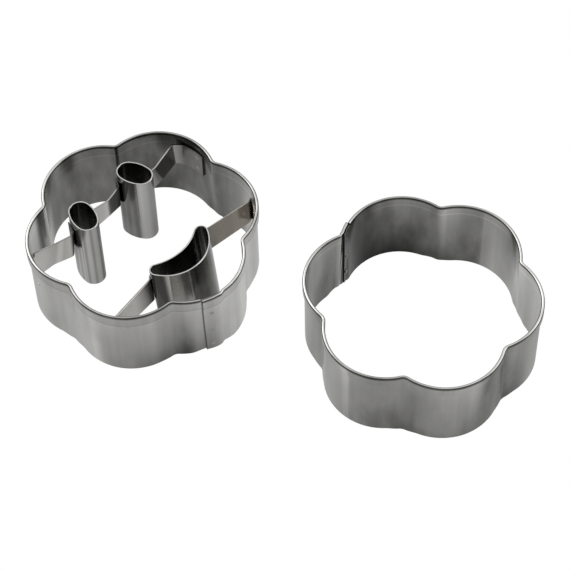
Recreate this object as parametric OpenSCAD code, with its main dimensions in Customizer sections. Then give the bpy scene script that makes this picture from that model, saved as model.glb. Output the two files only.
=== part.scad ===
// A set of two flower cutters for dough and fondant, bent from thin steel strip.
// The first cuts a flower with a face in it: two oval eye tubes and a crescent mouth tube
// hang in the flower band on bridge strips. The second is a plain flower band of the same
// size. All seams and tabs are spot welded. The cutting edges lie on z = 0.

/* [Set] */
// Distance between the centres of the two cutters as they stand side by side
pitch = 74.4; // [70:0.2:90]
// Height of both bands from the cutting edge to the top of the folded rim
cutter_h = 23.3; // [21:0.1:28]
// Thickness of the steel strip
sheet = 0.4; // [0.3:0.05:0.5]
// Air left between two layers of strip that lie on each other
layer_gap = 0.1; // [0.06:0.02:0.16]

/* [Flower outline] */
// Radius out to the middle of each lobe, on the outside of the strip
tip_r = 30; // [28:0.5:33]
// Radius of the circle that the lobe centres lie on
lobe_centre_r = 14.9; // [14:0.1:15.8]
// Radius of the crease between two lobes
crease_r = 2.3; // [1.8:0.1:3]
// Direction that the top of the face looks in, in degrees from +X
face_turn = 154.9; // [145:1:165]
// Direction of one lobe of the plain flower, in degrees from +X
plain_turn = 5.4; // [0:1:20]

/* [Rims and seams] */
// Depth of the rim that is folded outwards at the top of the face cutter
face_hem_h = 3.6; // [3:0.1:4.4]
// Depth of the rim that is folded outwards at the top of the plain cutter
plain_hem_h = 2.8; // [2.2:0.1:4.4]
// Length over which the ends of the face band lap
face_lap_l = 5; // [4:0.2:6]
// Length over which the ends of the plain band lap
plain_lap_l = 3.8; // [3.2:0.2:5]
// Angle from the middle of the chin lobe back to the outer end of the face band
face_seam_turn = 15.2; // [12:0.1:18]
// Diameter of a spot weld
weld_d = 1.2; // [0.8:0.1:1.6]
// Depth of the dimple that the welding tip leaves on each side
weld_dimple = 0.06; // [0.02:0.02:0.1]

/* [Eye tubes] */
// Height of the eye and mouth tubes
tube_h = 23.6; // [22:0.1:26]
// Length of an eye tube across its long axis
eye_l = 10; // [9:0.2:11]
// Width of an eye tube across its short axis
eye_w = 6.8; // [6:0.1:7.4]
// Radius of the long sides of an eye tube
eye_side_r = 8.8; // [8:0.2:11]
// Distance between the centres of the eye tubes
eye_pitch = 18.7; // [17:0.1:20]
// Distance of the eye tubes above the centre of the flower
eye_y = 12.5; // [11.5:0.1:13.5]
// Distance of the pair of eyes to the right of the middle of the face
eye_shift = 0.5; // [-0.5:0.1:0.8]
// Angle that the top of each eye leans in towards the middle of the face
eye_tilt = 18.5; // [12:1:24]

/* [Mouth tube] */
// Radius of the lower, outer side of the mouth
mouth_out_r = 11; // [10.4:0.1:12]
// Radius of the upper, hollow side of the mouth
mouth_in_r = 14; // [13:0.2:16]
// Thickness of the crescent at its middle
mouth_deep = 6.3; // [5.6:0.1:7]
// Radius of the rounded corners of the mouth
mouth_tip_r = 1.8; // [1.4:0.1:2.2]
// Distance of the corners of the mouth below the centre of the flower
mouth_y = 14.1; // [13.4:0.1:14.8]
// Distance of the mouth to the left of the middle of the face
mouth_shift = 0.4; // [-0.4:0.1:0.8]
// Angle that the mouth tube leans in towards the eyes at its top
mouth_lean = 6; // [0:1:8]

/* [Bridge strips] */
// Height of the strip that the bridges are bent from
bridge_h = 8; // [6:0.2:9]
// Distance from the top of the rim down to the upper edge of the bridges
bridge_drop = 2.8; // [2.4:0.1:4]
// Length of the tab that fixes the long bridge of the right eye to the band
long_tab_l = 6.7; // [5:0.1:7.5]
// Length of the tabs that fix the other bridges to the band
band_tab_l = 5.4; // [4:0.1:6]
// Distance that the bridges are bent away from a straight run
kink = 0.9; // [0.3:0.1:1.2]

/* [Hidden] */
$fn = 96;
lobes = 6;
// Lobes that carry the seams, counted from the one on +X
face_seam_lobe = 4;
plain_seam_lobe = 2;
// One overrun for all cuts
over = 1;

// Places along the pieces, as shares
face_weld_shares = [0.11, 0.36, 0.7];
plain_weld_shares = [0.2, 0.5, 0.8];
bridge_weld_shares = [0.25, 0.75];
tab_weld_share = 0.7;
left_kink_shares = [0.35, 0.86];
middle_kink_share = 0.54;
middle_kink_depth_share = 0.6;
right_kink_share = 0.28;
right_kink_depth_share = 0.35;
mouth_kink_share = 0.16;

// Flower outline
step_a = 360 / lobes;
lobe_r = tip_r - lobe_centre_r;
crease_far = lobe_centre_r * cos(step_a / 2)
    + sqrt(pow(lobe_r + crease_r, 2) - pow(lobe_centre_r * sin(step_a / 2), 2));
// Distance between the faces of two layers on the same side, and depth of the rim's fold
layer_step = sheet + layer_gap;
fold_h = sheet;
lap_step_l = sheet;

// Places of the two cutters, so that the middle of the whole set is at x = 0
function reach(turn) = lobe_r + layer_step
    + lobe_centre_r * max([for (k = [1:lobes]) cos(turn + step_a * k)]);
face_x = -(pitch + reach(plain_turn) - reach(face_turn)) / 2;
plain_x = face_x + pitch;

// Seams: angle of the outer end of each lap, in the frame where a lobe lies on +X
face_lap_a = face_lap_l / tip_r * 180 / PI;
plain_lap_a = plain_lap_l / tip_r * 180 / PI;
face_seam = face_seam_lobe * step_a - face_seam_turn;
plain_seam = (plain_seam_lobe + 1 / 2) * step_a - plain_lap_a;

// Eye outline: two long side arcs joined by two end arcs
eye_a = eye_l / 2;
eye_b = eye_w / 2;
eye_end_r = (2 * eye_side_r * eye_b - pow(eye_a, 2) - pow(eye_b, 2)) / 2 / (eye_side_r - eye_a);
eye_end_x = eye_a - eye_end_r;
eye_side_y = eye_side_r - eye_b;
eye_turn_a = atan2(eye_side_y, eye_end_x);

// Mouth outline: centres are given from the centre of the outer arc
mouth_in_y = mouth_in_r - mouth_out_r + mouth_deep;
mouth_tip_y = (pow(mouth_out_r - mouth_tip_r, 2) - pow(mouth_in_r + mouth_tip_r, 2)
    + pow(mouth_in_y, 2)) / 2 / mouth_in_y;
mouth_tip_x = sqrt(pow(mouth_out_r - mouth_tip_r, 2) - pow(mouth_tip_y, 2));

// Bridges: heights, and the line that a tab's middle follows on the wall or the tube
bridge_top = cutter_h - bridge_drop;
bridge_low = bridge_top - bridge_h;
bridge_mid = (bridge_top + bridge_low) / 2;
tab_r = lobe_r - sheet - layer_gap - sheet / 2;
tube_tab_d = layer_gap + sheet / 2;

// Direction from a lobe's centre in which each band tab begins, and how far it turns
right_tab_angles = [27.4, 16.1];
left_tab_turn = 28;
left_mouth_tab_turn = -28.5;
right_mouth_tab_turn = -27;
function chord_a(l) = 2 * asin(l / 2 / tab_r);

// Outward directions on the eye outline at which each tube tab begins and ends
left_outer_angles = [95, 88, 81, 74];
left_inner_angles = [-90, -84, -78, -72];
right_inner_angles = [-70, -54, -38, -22];
right_outer_angles = [101, 94, 87, 80];
// The same for the corners of the mouth, round each tip and then along the hollow side
left_tip_angles = [150, 130, 110, 90, 72];
right_tip_angles = [128, 109, 90, 72];
hollow_angles = [64, 69, 74];

function polar(r, a) = [r * cos(a), r * sin(a)];
function spin(p, a) = [p.x * cos(a) - p.y * sin(a), p.x * sin(a) + p.y * cos(a)];
function flip(p, side) = [side * p.x, p.y];

// Direction to the left of d, a point beside the line from a to b, and the point beside point i
// of a path that lies on the mitre of the bend there
function left_of(d) = [-d.y, d.x] / norm(d);
function along(a, b, share, off) = a + (b - a) * share + off * left_of(b - a);
function beside(path, i, off) =
    let (before = max(i, 1), after = min(i, len(path) - 2))
    let (n1 = left_of(path[before] - path[before - 1]), n2 = left_of(path[after + 1] - path[after]))
    path[i] + off * (n1 + n2) / (1 + n1 * n2);

// Point on the middle line of a tab that lies on the band, beside the eyes or the mouth
function lobe_mid(side, level) = [side * lobe_centre_r * cos(step_a / 2),
    level * lobe_centre_r * sin(step_a / 2)];
function on_wall(side, level, a) = lobe_mid(side, level) + flip(polar(tab_r, a), side);

// Point at distance d outside an eye tube, where the outline looks in direction a
function oval_at(a, d) = abs(a) < eye_turn_a ? [eye_end_x, 0] + polar(eye_end_r + d, a)
    : [0, -sign(a) * eye_side_y] + polar(eye_side_r + d, a);
function eye_mid(side) = [eye_shift + side * eye_pitch / 2, eye_y];
function by_eye(side, a, d) = eye_mid(side) + flip(spin(oval_at(a, d), 90 - eye_tilt), -side);

// Point at distance d outside the left tip of the mouth or its hollow side, where the
// direction from the middle of that arc is a, counted from the middle of the corners
function tip_at(a, d) = [-mouth_tip_x, 0] + polar(mouth_tip_r + d, a);
function hollow_at(a, d) = [0, mouth_in_y - mouth_tip_y] - polar(mouth_in_r - d, a);
mouth_mid = [-mouth_shift, -mouth_y];

// Runs of the bridges, each from its tab on the band or on one tube to the other end
left_on_wall = on_wall(-1, 1, left_tab_turn);
left_on_eye = by_eye(-1, left_outer_angles[0], tube_tab_d);
left_path = concat([on_wall(-1, 1, left_tab_turn - chord_a(band_tab_l)), left_on_wall,
    along(left_on_wall, left_on_eye, left_kink_shares[0], kink),
    along(left_on_wall, left_on_eye, left_kink_shares[1], -kink)],
    [for (a = left_outer_angles) by_eye(-1, a, tube_tab_d)]);
middle_start = by_eye(-1, left_inner_angles[3], tube_tab_d);
middle_end = by_eye(1, right_inner_angles[0], tube_tab_d);
middle_path = concat([for (a = left_inner_angles) by_eye(-1, a, tube_tab_d)],
    [along(middle_start, middle_end, middle_kink_share, -kink * middle_kink_depth_share)],
    [for (a = right_inner_angles) by_eye(1, a, tube_tab_d)]);
right_on_wall = on_wall(1, 1, right_tab_angles[0]);
right_on_eye = by_eye(1, right_outer_angles[0], tube_tab_d);
right_path = concat([on_wall(1, 1, right_tab_angles[1] - chord_a(long_tab_l)),
    on_wall(1, 1, right_tab_angles[1]), right_on_wall,
    along(right_on_eye, right_on_wall, right_kink_share, -kink * right_kink_depth_share)],
    [for (a = right_outer_angles) by_eye(1, a, tube_tab_d)]);
function mouth_wall(side, a) = [on_wall(side, -1, a - chord_a(band_tab_l)), on_wall(side, -1, a)];
function mouth_tab(tip_angles) = concat([for (a = tip_angles) tip_at(a, tube_tab_d)],
    [for (a = hollow_angles) hollow_at(a, tube_tab_d)]);
left_mouth_run = mouth_wall(-1, left_mouth_tab_turn);
right_mouth_wall = mouth_wall(1, right_mouth_tab_turn);
right_corner = mouth_mid + flip(tip_at(right_tip_angles[0], tube_tab_d), -1);
right_mouth_run = concat(right_mouth_wall,
    [along(right_mouth_wall[1], right_corner, mouth_kink_share, kink)]);

// Puts a piece into its cutter
module in_face() {
    translate([face_x, 0, 0])
        rotate(face_turn - 90)
            children();
}

module in_plain() {
    translate([plain_x, 0, 0])
        rotate(plain_turn)
            children();
}

// The flower outline with a lobe on +X, grown by d
module flower(d) {
    for (k = [1:lobes])
        rotate(step_a * k) {
            translate([lobe_centre_r, 0])
                circle(r = lobe_r + d);
            difference() {
                polygon([[0, 0], [lobe_centre_r, 0], polar(crease_far, step_a / 2),
                    polar(lobe_centre_r, step_a)]);
                translate(polar(crease_far, step_a / 2))
                    circle(r = crease_r - d);
            }
        }
}

module ring(inner, outer) {
    difference() {
        flower(outer);
        flower(inner);
    }
}

// A slice of the plane between two directions
module slice(a1, a2) {
    polygon([[0, 0], polar(2 * tip_r, a1), polar(2 * tip_r, a2)]);
}

module layer(z1, z2) {
    translate([0, 0, z1])
        linear_extrude(z2 - z1)
            children();
}

// A spot weld, lying along +X from the centre of the arc that it sits on
module weld_rod(r1, r2) {
    translate([r1, 0, 0])
        rotate([0, 90, 0])
            cylinder(d = weld_d, h = r2 - r1);
}

// Puts welds on the lap that begins at angle seam, on the given lobe
module at_lap(seam, lap_a, lobe, shares) {
    a = seam + lap_a / 2 - lobe * step_a;
    normal_a = a + asin(lobe_centre_r * sin(a) / lobe_r);
    for (s = shares)
        rotate(lobe * step_a)
            translate([lobe_centre_r, 0, s * cutter_h])
                rotate(normal_a)
                    children();
}

// Round the whole flower but for the lap: the strip with its rim folded outwards
module hemmed_ring(hem_h, seam, lap_a, jog_a) {
    layer(0, cutter_h - fold_h)
        difference() {
            ring(-sheet, 0);
            slice(seam + lap_a - jog_a, seam + lap_a);
        }
    layer(cutter_h - hem_h, cutter_h - fold_h)
        difference() {
            ring(layer_gap, layer_step);
            slice(seam, seam + lap_a);
        }
    layer(cutter_h - fold_h, cutter_h)
        difference() {
            ring(-sheet, layer_step);
            slice(seam, seam + lap_a);
        }
}

// The outer end of the strip, one layer further out, with its own folded rim
module lap_end(hem_h, seam, lap_a, jog_a) {
    layer(0, cutter_h - fold_h)
        intersection() {
            ring(layer_gap, layer_step);
            slice(seam, seam + lap_a + jog_a);
        }
    layer(cutter_h - hem_h, cutter_h - fold_h)
        intersection() {
            ring(layer_step + layer_gap, 2 * layer_step);
            slice(seam, seam + lap_a + jog_a);
        }
    layer(cutter_h - fold_h, cutter_h)
        intersection() {
            ring(layer_gap, 2 * layer_step);
            slice(seam, seam + lap_a + jog_a);
        }
    layer(0, cutter_h)
        intersection() {
            ring(-sheet, layer_step);
            slice(seam + lap_a, seam + lap_a + jog_a);
        }
    layer(cutter_h - hem_h, cutter_h)
        intersection() {
            ring(-sheet, 2 * layer_step);
            slice(seam + lap_a, seam + lap_a + jog_a);
        }
}

module band(hem_h, seam, lap_a, lobe, shares) {
    jog_a = lap_step_l / tip_r * 180 / PI;
    difference() {
        union() {
            hemmed_ring(hem_h, seam, lap_a, jog_a);
            lap_end(hem_h, seam, lap_a, jog_a);
        }
        at_lap(seam, lap_a, lobe, shares)
            weld_rod(lobe_r - over, lobe_r + over);
    }
}

module seam_welds(seam, lap_a, lobe, shares) {
    at_lap(seam, lap_a, lobe, shares)
        weld_rod(lobe_r - sheet + weld_dimple, lobe_r + layer_step - weld_dimple);
}

// The eye outline in its own frame, long axis on X, grown by d
module oval(d) {
    cut_x = (eye_side_r + d) * cos(eye_turn_a);
    for (side = [-1, 1])
        translate([side * eye_end_x, 0])
            circle(r = eye_end_r + d);
    intersection() {
        translate([0, -eye_side_y])
            circle(r = eye_side_r + d);
        translate([0, eye_side_y])
            circle(r = eye_side_r + d);
        translate([-cut_x, -eye_w])
            square([2 * cut_x, 2 * eye_w]);
    }
}

module at_eye(side) {
    translate(eye_mid(side))
        mirror([side > 0 ? 1 : 0, 0, 0])
            rotate(90 - eye_tilt)
                children();
}

// The mouth outline from the middle of its two corners, grown by d
module crescent(d) {
    out_mid = [0, -mouth_tip_y];
    in_mid = [0, mouth_in_y - mouth_tip_y];
    far = 2 * mouth_out_r;
    out_dir = [mouth_tip_x, mouth_tip_y] / norm([mouth_tip_x, mouth_tip_y]);
    for (side = [-1, 1])
        translate([side * mouth_tip_x, 0])
            circle(r = mouth_tip_r + d);
    intersection() {
        difference() {
            translate(out_mid)
                circle(r = mouth_out_r + d);
            translate(in_mid)
                circle(r = mouth_in_r - d);
        }
        polygon([in_mid, [-mouth_tip_x, 0], out_mid + far * flip(out_dir, -1), [-far, -far],
            [far, -far], out_mid + far * out_dir, [mouth_tip_x, 0]]);
    }
}

// The frame of the mouth: it leans about the line through its corners at the bridges' middle
module in_mouth() {
    translate([mouth_mid.x, mouth_mid.y, bridge_mid])
        rotate([-mouth_lean, 0, 0])
            children();
}

// The plan of a strip whose middle follows a path, with its ends cut square
module strip(path) {
    last = len(path) - 1;
    polygon(concat([for (i = [0:last]) beside(path, i, sheet / 2)],
        [for (i = [last:-1:0]) beside(path, i, -sheet / 2)]));
}

module bridge(path) {
    layer(bridge_low, bridge_top)
        strip(path);
}

// A weld goes through a tab that runs on the band from p to the bend at q: where its middle
// is, which way is out through the band, and how far away the outside of the band is
function tab_spot(p, q) = q + (p - q) * tab_weld_share;
function tab_out(side, p, q) = side * left_of(p - q);
function tab_depth(side, level, p, q) =
    let (from_mid = tab_spot(p, q) - lobe_mid(side, level), reached = from_mid * tab_out(side, p, q))
    sqrt(pow(reached, 2) - from_mid * from_mid + pow(lobe_r, 2)) - reached;

module at_band_tab(side, p, q) {
    spot = tab_spot(p, q);
    out = tab_out(side, p, q);
    for (s = bridge_weld_shares)
        translate([spot.x, spot.y, bridge_low + s * bridge_h])
            rotate(atan2(out.y, out.x))
                children();
}

module band_tab_welds(side, level, p, q) {
    at_band_tab(side, p, q)
        weld_rod(weld_dimple - sheet / 2, tab_depth(side, level, p, q) - weld_dimple);
}

module band_tab_holes(side, level, p, q) {
    at_band_tab(side, p, q)
        weld_rod(-over, tab_depth(side, level, p, q) + over);
}

// Puts a weld through an eye tube and the tab on it, where the outline looks in direction a
module at_eye_tab(side, a) {
    on_end = abs(a) < eye_turn_a;
    mid = on_end ? [eye_end_x, 0] : [0, -sign(a) * eye_side_y];
    for (s = bridge_weld_shares)
        at_eye(side)
            translate([mid.x, mid.y, bridge_low + s * bridge_h])
                rotate(a)
                    translate([on_end ? eye_end_r : eye_side_r, 0, 0])
                        children();
}

// All welds between bridges and tubes at the eyes, or the holes for them
module eye_tab_rods(r1, r2) {
    at_eye_tab(-1, left_outer_angles[2])
        weld_rod(r1, r2);
    at_eye_tab(-1, left_inner_angles[1])
        weld_rod(r1, r2);
    at_eye_tab(1, right_inner_angles[2])
        weld_rod(r1, r2);
    at_eye_tab(1, right_outer_angles[2])
        weld_rod(r1, r2);
}

// All welds between bridges and mouth tube, or the holes for them
module mouth_tab_rods(r1, r2) {
    for (side = [-1, 1], s = bridge_weld_shares)
        in_mouth()
            mirror([side > 0 ? 1 : 0, 0, 0])
                translate([0, mouth_in_y - mouth_tip_y, (s - 1 / 2) * bridge_h])
                    rotate(180 + hollow_angles[1])
                        weld_rod(mouth_in_r - r2, mouth_in_r - r1);
}

module eye_band_tabs(holes) {
    if (holes) {
        band_tab_holes(-1, 1, left_path[0], left_path[1]);
        band_tab_holes(1, 1, right_path[0], right_path[1]);
    } else {
        band_tab_welds(-1, 1, left_path[0], left_path[1]);
        band_tab_welds(1, 1, right_path[0], right_path[1]);
    }
}

module mouth_band_tabs(holes) {
    if (holes) {
        band_tab_holes(-1, -1, left_mouth_run[0], left_mouth_run[1]);
        band_tab_holes(1, -1, right_mouth_run[0], right_mouth_run[1]);
    } else {
        band_tab_welds(-1, -1, left_mouth_run[0], left_mouth_run[1]);
        band_tab_welds(1, -1, right_mouth_run[0], right_mouth_run[1]);
    }
}

module face_band() {
    color("silver")
        in_face()
            difference() {
                rotate(step_a / 2)
                    band(face_hem_h, face_seam, face_lap_a, face_seam_lobe, face_weld_shares);
                eye_band_tabs(true);
                mouth_band_tabs(true);
            }
}

module eye_tube(side) {
    color("lightgray")
        in_face()
            difference() {
                at_eye(side)
                    linear_extrude(tube_h)
                        difference() {
                            oval(0);
                            oval(-sheet);
                        }
                eye_tab_rods(-over, over);
            }
}

module mouth_tube() {
    color("darkgray")
        in_face()
            difference() {
                intersection() {
                    in_mouth()
                        layer(-2 * tube_h, 2 * tube_h)
                            difference() {
                                crescent(0);
                                crescent(-sheet);
                            }
                    translate([-tip_r, -tip_r, 0])
                        cube([2 * tip_r, 2 * tip_r, tube_h]);
                }
                mouth_tab_rods(-over, over);
            }
}

module eye_bridge(path) {
    color("gainsboro")
        in_face()
            difference() {
                bridge(path);
                eye_tab_rods(-over, over);
                eye_band_tabs(true);
            }
}

// A strip round z = 0 along a path, which leans in the direction of +Y by its own angle at each
// point of the path. A station has four corners: left low, left high, right low, right high.
module leaning_strip(path, leans) {
    last = len(path) - 1;
    corners = [for (i = [0:last], off = [sheet / 2, -sheet / 2], z = [-bridge_h / 2, bridge_h / 2])
        let (p = beside(path, i, off)) [p.x, p.y / cos(leans[i]) + z * tan(leans[i]), z]];
    runs = [for (k = [0:4:4 * last - 1]) each [
        [k, k + 5, k + 1], [k, k + 4, k + 5],
        [k + 2, k + 3, k + 7], [k + 2, k + 7, k + 6],
        [k + 1, k + 5, k + 7, k + 3],
        [k, k + 2, k + 6, k + 4]]];
    start = [0, 1, 3, 2];
    end = [for (k = [2, 3, 1, 0]) 4 * last + k];
    polyhedron(corners, concat([start], runs, [end]));
}

// A mouth bridge is upright along its run and leans with the mouth along its tab
module mouth_bridge(side, run, tip_angles) {
    tab = mouth_tab(tip_angles);
    path = concat([for (p = run) flip(p - mouth_mid, -side)], tab);
    leans = concat([for (p = run) 0], [for (p = tab) mouth_lean]);
    color("tan")
        in_face()
            difference() {
                translate([mouth_mid.x, mouth_mid.y, bridge_mid])
                    mirror([side > 0 ? 1 : 0, 0, 0])
                        leaning_strip(path, leans);
                mouth_tab_rods(-over, over);
                mouth_band_tabs(true);
            }
}

module face_seam_welds() {
    color("dimgray")
        in_face()
            rotate(step_a / 2)
                seam_welds(face_seam, face_lap_a, face_seam_lobe, face_weld_shares);
}

module eye_bridge_welds() {
    color("dimgray")
        in_face() {
            eye_tab_rods(weld_dimple - sheet, layer_step - weld_dimple);
            eye_band_tabs(false);
        }
}

module mouth_bridge_welds() {
    color("dimgray")
        in_face() {
            mouth_tab_rods(weld_dimple - sheet, layer_step - weld_dimple);
            mouth_band_tabs(false);
        }
}

module plain_band() {
    color("silver")
        in_plain()
            band(plain_hem_h, plain_seam, plain_lap_a, plain_seam_lobe, plain_weld_shares);
}

module plain_seam_welds() {
    color("dimgray")
        in_plain()
            seam_welds(plain_seam, plain_lap_a, plain_seam_lobe, plain_weld_shares);
}

face_band();
eye_tube(-1);  // left_eye_tube
eye_tube(1);  // right_eye_tube
mouth_tube();
eye_bridge(left_path);  // left_eye_bridge
eye_bridge(middle_path);  // middle_eye_bridge
eye_bridge(right_path);  // right_eye_bridge
mouth_bridge(-1, left_mouth_run, left_tip_angles);  // left_mouth_bridge
mouth_bridge(1, right_mouth_run, right_tip_angles);  // right_mouth_bridge
face_seam_welds();
eye_bridge_welds();
mouth_bridge_welds();
plain_band();
plain_seam_welds();
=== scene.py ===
"""Looks of a set of two flower cutters for dough, bent from thin steel strip.

Lengths are in millimetres until a mesh is made, and the face cutter is laid out in its own
frame, with +Y towards the top of the face. Both cutters stand on z = 0.
"""

import math
from bisect import bisect_right

import bmesh
import bpy
from mathutils import Matrix, Vector


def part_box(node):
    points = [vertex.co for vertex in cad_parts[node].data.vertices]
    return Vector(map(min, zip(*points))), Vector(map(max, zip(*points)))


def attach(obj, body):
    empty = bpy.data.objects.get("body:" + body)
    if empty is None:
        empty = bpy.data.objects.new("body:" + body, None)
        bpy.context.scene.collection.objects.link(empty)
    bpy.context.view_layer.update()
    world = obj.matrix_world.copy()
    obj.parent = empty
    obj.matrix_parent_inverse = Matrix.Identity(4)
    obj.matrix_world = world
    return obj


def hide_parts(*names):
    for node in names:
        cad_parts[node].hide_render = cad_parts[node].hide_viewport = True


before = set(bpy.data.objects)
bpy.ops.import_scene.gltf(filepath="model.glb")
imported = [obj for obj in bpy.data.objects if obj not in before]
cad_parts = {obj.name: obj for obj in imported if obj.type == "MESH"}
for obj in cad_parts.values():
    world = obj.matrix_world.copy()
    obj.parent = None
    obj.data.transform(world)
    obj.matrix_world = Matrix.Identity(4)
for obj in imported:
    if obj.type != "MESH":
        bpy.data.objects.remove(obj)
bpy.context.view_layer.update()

MM = 0.001
UP = Vector((0, 0, 1))

# Sides of the face, and its lobes below and above the middle
LEFT, RIGHT = -1, 1
LOWER, UPPER = -1, 1

# Steel strip: thickness, air between two layers, the broken edge where it was cut, and how far the
# metal waves, less on narrow pieces
SHEET = 0.4
GAP = 0.1
LAYER = SHEET + GAP
BREAK = 0.07
WAVE = 0.05
NARROW_WAVE = WAVE / 2
WAVE_LENGTH = 13

# Flower outline: circle of the lobe centres, lobe and crease radius, and how far the plain cutter
# is turned on the table
LOBES = 6
LOBE_STEP = 360 / LOBES
LOBE_RING = 14.9
LOBE_R = 15.1
CREASE_R = 2.3
PLAIN_TURN = 5.4

# How far the foot of a band stands out, where no hem stiffened it: number of a crease, how far, and
# how far past the middle of the crease it does so most. EASE_REACH is how far from there it ends.
FACE_EASES = ((0, 0.5, 0), (1, 0.3, 0), (2, 0.9, 0), (3, 0.3, 0), (3, -0.8, 8), (3, -0.6, 13),
              (4, 0.4, 0), (5, 1.0, 0))
PLAIN_EASES = ((0, 1.2, 0), (1, 0.8, 0.6), (2, 1.2, 1.3), (3, 0.4, 0), (4, 0.7, 0), (5, 0.5, 0))
EASE_REACH = 4.5

# Rims: radius of the fold and its steps, width of the painted shade lines beside it, how far other
# points keep from the raw edge, and for each band the height of the hem and the share of its tone
# that it loses to painted shade
FOLD_R = (2 * SHEET + GAP) / 2
FOLD_STEPS = 12
HEM_LINE = 0.35
HEM_CLEAR = 0.5
FACE_HEM = 3.6
FACE_HEM_SHADE = 0.15
PLAIN_HEM = 2.8
PLAIN_HEM_SHADE = 0.03

# Laps: the outer end of a band lies over its inner end, a tongue without a rim, and past the lap
# the wall jogs in. The values are the length of the jog, the notch in the rim at the outer end, the
# painted shade lines along both ends, their tone, and the share of its tone that the tongue's edge
# keeps, painted shade.
JOG = 1.3
NOTCH = 0.12
END_LINE = 0.35
TONGUE_LINE = 0.1
END_PAINTED_SHADE = 0.03
TONGUE_EDGE_SHADE = 0.3

# Seams: the lobe of the outer end and its direction from the flower's centre, the length of the lap
# of the face cutter, and how far the foot of the outer and of the inner end lie along the band
FACE_SEAM_LOBE = 4
FACE_SEAM = 254.8
FACE_LAP = 5
FACE_LEANS = (0.6, 0)
PLAIN_SEAM_LOBE = 2
PLAIN_SEAM = 142.743
PLAIN_LEANS = (0, -1.1)

# Eye tubes: an oval of four arcs, its tilt and place, and the direction on the table that each butt
# seam faces. BUTT is the gap of the butt seams.
EYE_SIDE_R = 8.8
EYE_SIDE_Y = 5.4
EYE_END_R = 3.063
EYE_END_X = 1.937
EYE_TURN = 70.27
EYE_TILT = 18.5
EYE_SHIFT = 0.5
EYE_Y = 12.5
EYE_SEAMS = {LEFT: (-0.9, 0.3), RIGHT: (0.1, -1)}
BUTT = 0.09

# Mouth tube: a crescent of four arcs, its lean, and the direction on the face that its seam faces
MOUTH_MID = Vector((-0.4, -14.1))
MOUTH_OUT_R = 11
MOUTH_OUT_Y = 4.221
MOUTH_IN_R = 14
MOUTH_IN_Y = 13.521
MOUTH_TIP_R = 1.8
MOUTH_TIP_X = 8.174
MOUTH_TURN = 58.84
MOUTH_LEAN = math.radians(6)
MOUTH_SEAM = (1, 0.3)

# Bridges: how far the middle of a tab's metal lies from the middle of a lobe and from the outside
# of a tube, and how far a bend reaches
TAB_R = LOBE_R - SHEET - GAP - SHEET / 2
TUBE_TAB = GAP + SHEET / 2
BEND_R = 0.9

# Tabs on the band: side, lobe, direction of the bend from the middle of the lobe, and length
TAB_L = 5.4
SLANTED_TAB_L = 6.9
LONG_TAB_L = 6.7
LEFT_EYE_TAB = (LEFT, UPPER, 28, TAB_L)
LEFT_EYE_TAB_TOP = (LEFT, UPPER, 34, SLANTED_TAB_L)
RIGHT_EYE_TAB = (RIGHT, UPPER, 16.1, LONG_TAB_L)
LEFT_MOUTH_TAB = (LEFT, LOWER, -28.5, TAB_L)
RIGHT_MOUTH_TAB = (RIGHT, LOWER, -27, TAB_L)

# Tabs on the eye tubes: side, directions of the bend and the end, how far the bend stands off the
# tube, and steps. The directions are those of by_eye.
LEFT_EYE_TOP = (LEFT, 97.5, 75, 0.1, 6)
LEFT_EYE_LOW = (LEFT, 91, 74, 0.3, 6)
RIGHT_EYE_SIDE = (RIGHT, 101, 80, 0, 6)
INNER_LEFT = (LEFT, -90, -72, 0, 6)
INNER_RIGHT_TOP = (RIGHT, -71, -22, 0.35, 12)
INNER_RIGHT_LOW = (RIGHT, -70, -22, 0.55, 12)

# Directions round the corners of the mouth in which its tabs begin
LEFT_TIP_A = 150
RIGHT_TIP_A = 128

# Spot welds: radius, height of the marks, their places along and up the tabs and up the seams, and
# the tones of the marks, partly darker from the heat of welding and partly painted reflections and
# shade that match the steel around them. A weld on a tube has a direction instead of a place.
WELD_R = 0.6
WELD_PROUD = 0.035
WELD_SHARE = 0.7
WELD_SHARES = (0.25, 0.75)
FACE_WELD_SHARES = (0.11, 0.36, 0.7)
PLAIN_WELD_SHARES = (0.2, 0.5, 0.8)
FACE_SEAM_TONE = 0.85
PLAIN_SEAM_TONE = 0.55
EYE_TAB_WELDS = ((LEFT_EYE_TAB, 1.4), (RIGHT_EYE_TAB, 0.75))
EYE_TUBE_WELDS = ((LEFT, 81), (LEFT, -84), (RIGHT, -38), (RIGHT, 87))
EYE_TUBE_TONE = 0.3
MOUTH_TAB_WELDS = ((LEFT_MOUTH_TAB, 1.1), (RIGHT_MOUTH_TAB, 1.3))
MOUTH_TUBE_WELD_A = 69
MOUTH_TUBE_TONE = 0.12

# A point of a section whose x is less than this is on the inner side
INNER_X = -0.15

# Meshes: the least angle of a sharp edge, and the distance in metres within which points are one
SHARP_A = 40
CLOSE = 1e-6


def polar(r, degrees):
    a = math.radians(degrees)
    return Vector((r * math.cos(a), r * math.sin(a)))


def flip(p, side):
    return Vector((side * p.x, p.y))


def at_height(p, z):
    return Vector((p.x, p.y, z))


def smooth(t):
    t = max(0.0, min(1.0, t))
    return t * t * (3 - 2 * t)


def middle(node):
    low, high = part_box(node)
    return ((low + high) / 2 / MM).xy


def turned(origin, x_axis):
    """The matrix of a frame on the table, in millimetres."""
    x = x_axis.normalized()
    m = Matrix.Identity(4)
    m.col[0][:2] = x
    m.col[1][:2] = (-x.y, x.x)
    m.col[3][:2] = origin
    return m


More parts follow.
